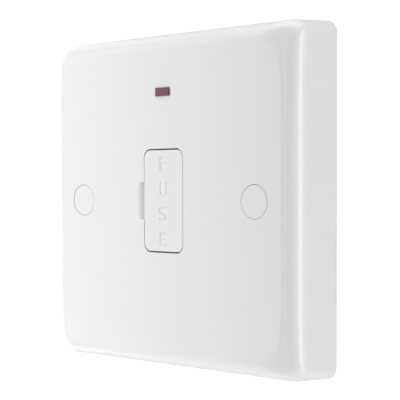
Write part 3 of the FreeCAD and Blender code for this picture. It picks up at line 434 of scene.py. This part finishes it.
RECESS_SPAN = 3.0 * MM              # from tip to tip of the cross
RECESS_BLADE = 0.75 * MM            # width of each blade
RECESS_DEPTH = 1.1 * MM
RECESS_TAPER = 0.5                  # size of its floor, as a share of its mouth
RECESS_TURN = 45                    # degrees from upright


def middle_of(node):
    low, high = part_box(node)
    return (low + high) / 2


def letter_cutter(letter, height, slope, groove, stroke=0.0):
    """One capital as a solid with sloping sides, that leaves a groove when cut from a surface."""
    curve = bpy.data.curves.new("letter_" + letter, "FONT")
    curve.body = letter
    curve.align_x = "CENTER"
    curve.size = height / CAPITAL_SHARE
    curve.extrude = MOUTH * slope / groove
    curve.bevel_depth = slope
    curve.bevel_resolution = 0
    curve.offset = stroke - slope
    text = bpy.data.objects.new("letter_" + letter, curve)
    bpy.context.scene.collection.objects.link(text)
    bpy.context.view_layer.update()
    mesh = bpy.data.meshes.new_from_object(text.evaluated_get(bpy.context.evaluated_depsgraph_get()))
    mesh.transform(Matrix.Diagonal((1, 1, groove / slope, 1)) @ Matrix.Translation((0, -height / 2, 0)))
    cutter = bpy.data.objects.new("cutter_" + letter, mesh)
    bpy.context.scene.collection.objects.link(cutter)
    bpy.data.objects.remove(text)
    return cutter


def fit_between(cutter, left, right):
    """Stretches a letter sideways to lie between two sides."""
    across = [vertex.co.x for vertex in cutter.data.vertices]
    start = min(across)
    stretch = (right - left) / (max(across) - start)
    for vertex in cutter.data.vertices:
        vertex.co.x = left + (vertex.co.x - start) * stretch


def copy_of(node, name):
    piece = bpy.data.objects.new(name, NODES[node].data.copy())
    bpy.context.scene.collection.objects.link(piece)
    return piece


def carve(piece, cutters):
    for cutter in cutters:
        cut = piece.modifiers.new("cut", "BOOLEAN")
        cut.operation = "DIFFERENCE"
        cut.solver = "EXACT"
        cut.object = cutter
        bpy.context.view_layer.update()
        mesh = bpy.data.meshes.new_from_object(piece.evaluated_get(bpy.context.evaluated_depsgraph_get()))
        piece.modifiers.clear()
        piece.data = mesh
        bpy.data.objects.remove(cutter)


def finish_piece(piece, material, body):
    piece.data.materials.clear()
    piece.data.materials.append(MATERIALS[material])
    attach(piece, body)


def spread(piece, aside, up, reach, middle):
    """Moves what lies ahead of a level away from the middle, each way by the same distance."""
    for vertex in piece.data.vertices:
        if vertex.co.y < reach:
            vertex.co.x += math.copysign(aside, vertex.co.x - middle.x)
            vertex.co.z += math.copysign(up, vertex.co.z - middle.z)


def dress_carrier():
    """The carrier with its word, and with the narrow gap at each side that the photograph shows."""
    carrier = copy_of("fuse_carrier", "lettered_carrier")
    spread(carrier, CARRIER_SPREAD, 0, PLATE_FACE + CARRIER_BLOCK, Vector((0, 0, 0)))
    upright = Matrix.Rotation(math.radians(90), 4, "X")
    middle = (len(CARRIER_WORD) - 1) / 2
    cutters = []
    for index, letter in enumerate(CARRIER_WORD):
        cutter = letter_cutter(letter, CARRIER_LETTER, CARRIER_SLOPE, CARRIER_GROOVE, CARRIER_STROKE)
        fit_between(cutter, *LETTER_SIDES[letter])
        level = (middle - index) * CARRIER_PITCH - CARRIER_DROP
        cutter.data.transform(Matrix.Translation((0, PLATE_FACE, level)) @ upright)
        cutters.append(cutter)
    carve(carrier, cutters)
    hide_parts("fuse_carrier")
    finish_piece(carrier, "white_moulding", "drawer")


def dress_lens():
    """The window filling its opening, and less proud than its solid."""
    lens = copy_of("neon_lens", "fitted_lens")
    spread(lens, LENS_SPREAD, LENS_RISE, PLATE_FACE, middle_of("neon_lens"))
    for vertex in lens.data.vertices:
        vertex.co.y = max(vertex.co.y, PLATE_FACE - LENS_PROUD)
    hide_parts("neon_lens")
    finish_piece(lens, "lens_red", "housing")


def seat_cap():
    """The right cap nearer to the left and lower side of its recess, as the line round it shows."""
    cap = copy_of("screw_cap_right", "seated_cap_right")
    cap.data.transform(Matrix.Translation((CAP_ASIDE, 0, CAP_DOWN)))
    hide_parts("screw_cap_right")
    finish_piece(cap, "white_moulding", "cap_right")


def make_scoop():
    """Curved floor of the prise slot, that deepens towards the carrier."""
    mesh = bpy.data.meshes.new("prise_scoop")
    scoop = bmesh.new()
    rings = []
    for step in range(SCOOP_STEPS + 1):
        along = SCOOP_WIDTH * step / SCOOP_STEPS
        dip = SCOOP_LIP + SCOOP_START * along + (SCOOP_END - SCOOP_START) * along ** 2 / (2 * SCOOP_WIDTH)
        x = SCOOP_NEAR - SCOOP_WIDTH + along
        root = SCOOP_ROOT + SCOOP_ROOT_FALL * step / SCOOP_STEPS
        corners = [(dip, -SCOOP_HALF), (dip, SCOOP_HALF), (root, SCOOP_HALF), (root, -SCOOP_HALF)]
        rings.append([scoop.verts.new((x, PLATE_FACE + depth, z)) for depth, z in corners])
    for before, after in zip(rings, rings[1:]):
        for index in range(len(before)):
            following = (index + 1) % len(before)
            scoop.faces.new((before[index], before[following], after[following], after[index]))
    scoop.faces.new(rings[0])
    scoop.faces.new(reversed(rings[-1]))
    bmesh.ops.recalc_face_normals(scoop, faces=scoop.faces)
    scoop.to_mesh(mesh)
    scoop.free()
    mesh.shade_smooth()
    mesh.set_sharp_from_angle(angle=math.radians(SCOOP_SHARP))
    piece = bpy.data.objects.new("prise_scoop", mesh)
    bpy.context.scene.collection.objects.link(piece)
    finish_piece(piece, "white_moulding", "housing")


def engrave_tray():
    """The letter of each pole on the back of the tray, between its screw hole and the middle."""
    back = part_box("rear_base")[1].y
    turned = Matrix.Rotation(math.radians(180), 4, "Z") @ Matrix.Rotation(math.radians(90), 4, "X")
    cutters = []
    for pole in ("live", "neutral", "earth"):
        for row in ("supply", "load"):
            centre = middle_of("%s_%s_terminal" % (pole, row))
            level = centre.z - math.copysign(TRAY_LETTER_SHIFT, centre.z)
            cutter = letter_cutter(pole[0].upper(), TRAY_LETTER, TRAY_GROOVE, TRAY_GROOVE)
            cutter.data.transform(Matrix.Translation((centre.x, back, level)) @ turned)
            cutters.append(cutter)
    tray = copy_of("rear_base", "marked_tray")
    carve(tray, cutters)
    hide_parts("rear_base")
    finish_piece(tray, "tray_moulding", "housing")


def recess_cutter(centre, back):
    """Cross of two blades that narrow inward, for the head of a screw."""
    mesh = bpy.data.meshes.new("cross_recess")
    cross = bmesh.new()
    half = RECESS_SPAN / 2
    blade = RECESS_BLADE / 2
    outline = [
        (half, -blade), (half, blade), (blade, blade), (blade, half), (-blade, half), (-blade, blade),
        (-half, blade), (-half, -blade), (-blade, -blade), (-blade, -half), (blade, -half), (blade, -blade),
    ]
    mouth = [cross.verts.new((x, MOUTH, z)) for x, z in outline]
    floor = [cross.verts.new((x * RECESS_TAPER, -RECESS_DEPTH, z * RECESS_TAPER)) for x, z in outline]
    cross.faces.new(mouth)
    cross.faces.new(reversed(floor))
    for index in range(len(outline)):
        following = (index + 1) % len(outline)
        cross.faces.new((mouth[following], mouth[index], floor[index], floor[following]))
    bmesh.ops.recalc_face_normals(cross, faces=cross.faces)
    cross.to_mesh(mesh)
    cross.free()
    turn = Matrix.Rotation(math.radians(RECESS_TURN), 4, "Y")
    mesh.transform(Matrix.Translation((centre.x, back, centre.z)) @ turn)
    cutter = bpy.data.objects.new("cross_recess", mesh)
    bpy.context.scene.collection.objects.link(cutter)
    return cutter


def recess_screws():
    for level in ("upper", "lower"):
        for side in ("left", "right"):
            node = "base_screw_%s_%s" % (level, side)
            screw = copy_of(node, "recessed_" + node)
            carve(screw, [recess_cutter(middle_of(node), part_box(node)[1].y)])
            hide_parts(node)
            finish_piece(screw, "zinc_steel", "housing")


bpy.context.scene.view_settings.view_transform = "Standard"
bpy.context.scene.cycles.use_denoising = True
make_camera()
make_lights()
make_floor()
MATERIALS = make_materials()
dress_nodes()
dress_carrier()
dress_lens()
seat_cap()
make_scoop()
engrave_tray()
recess_screws()
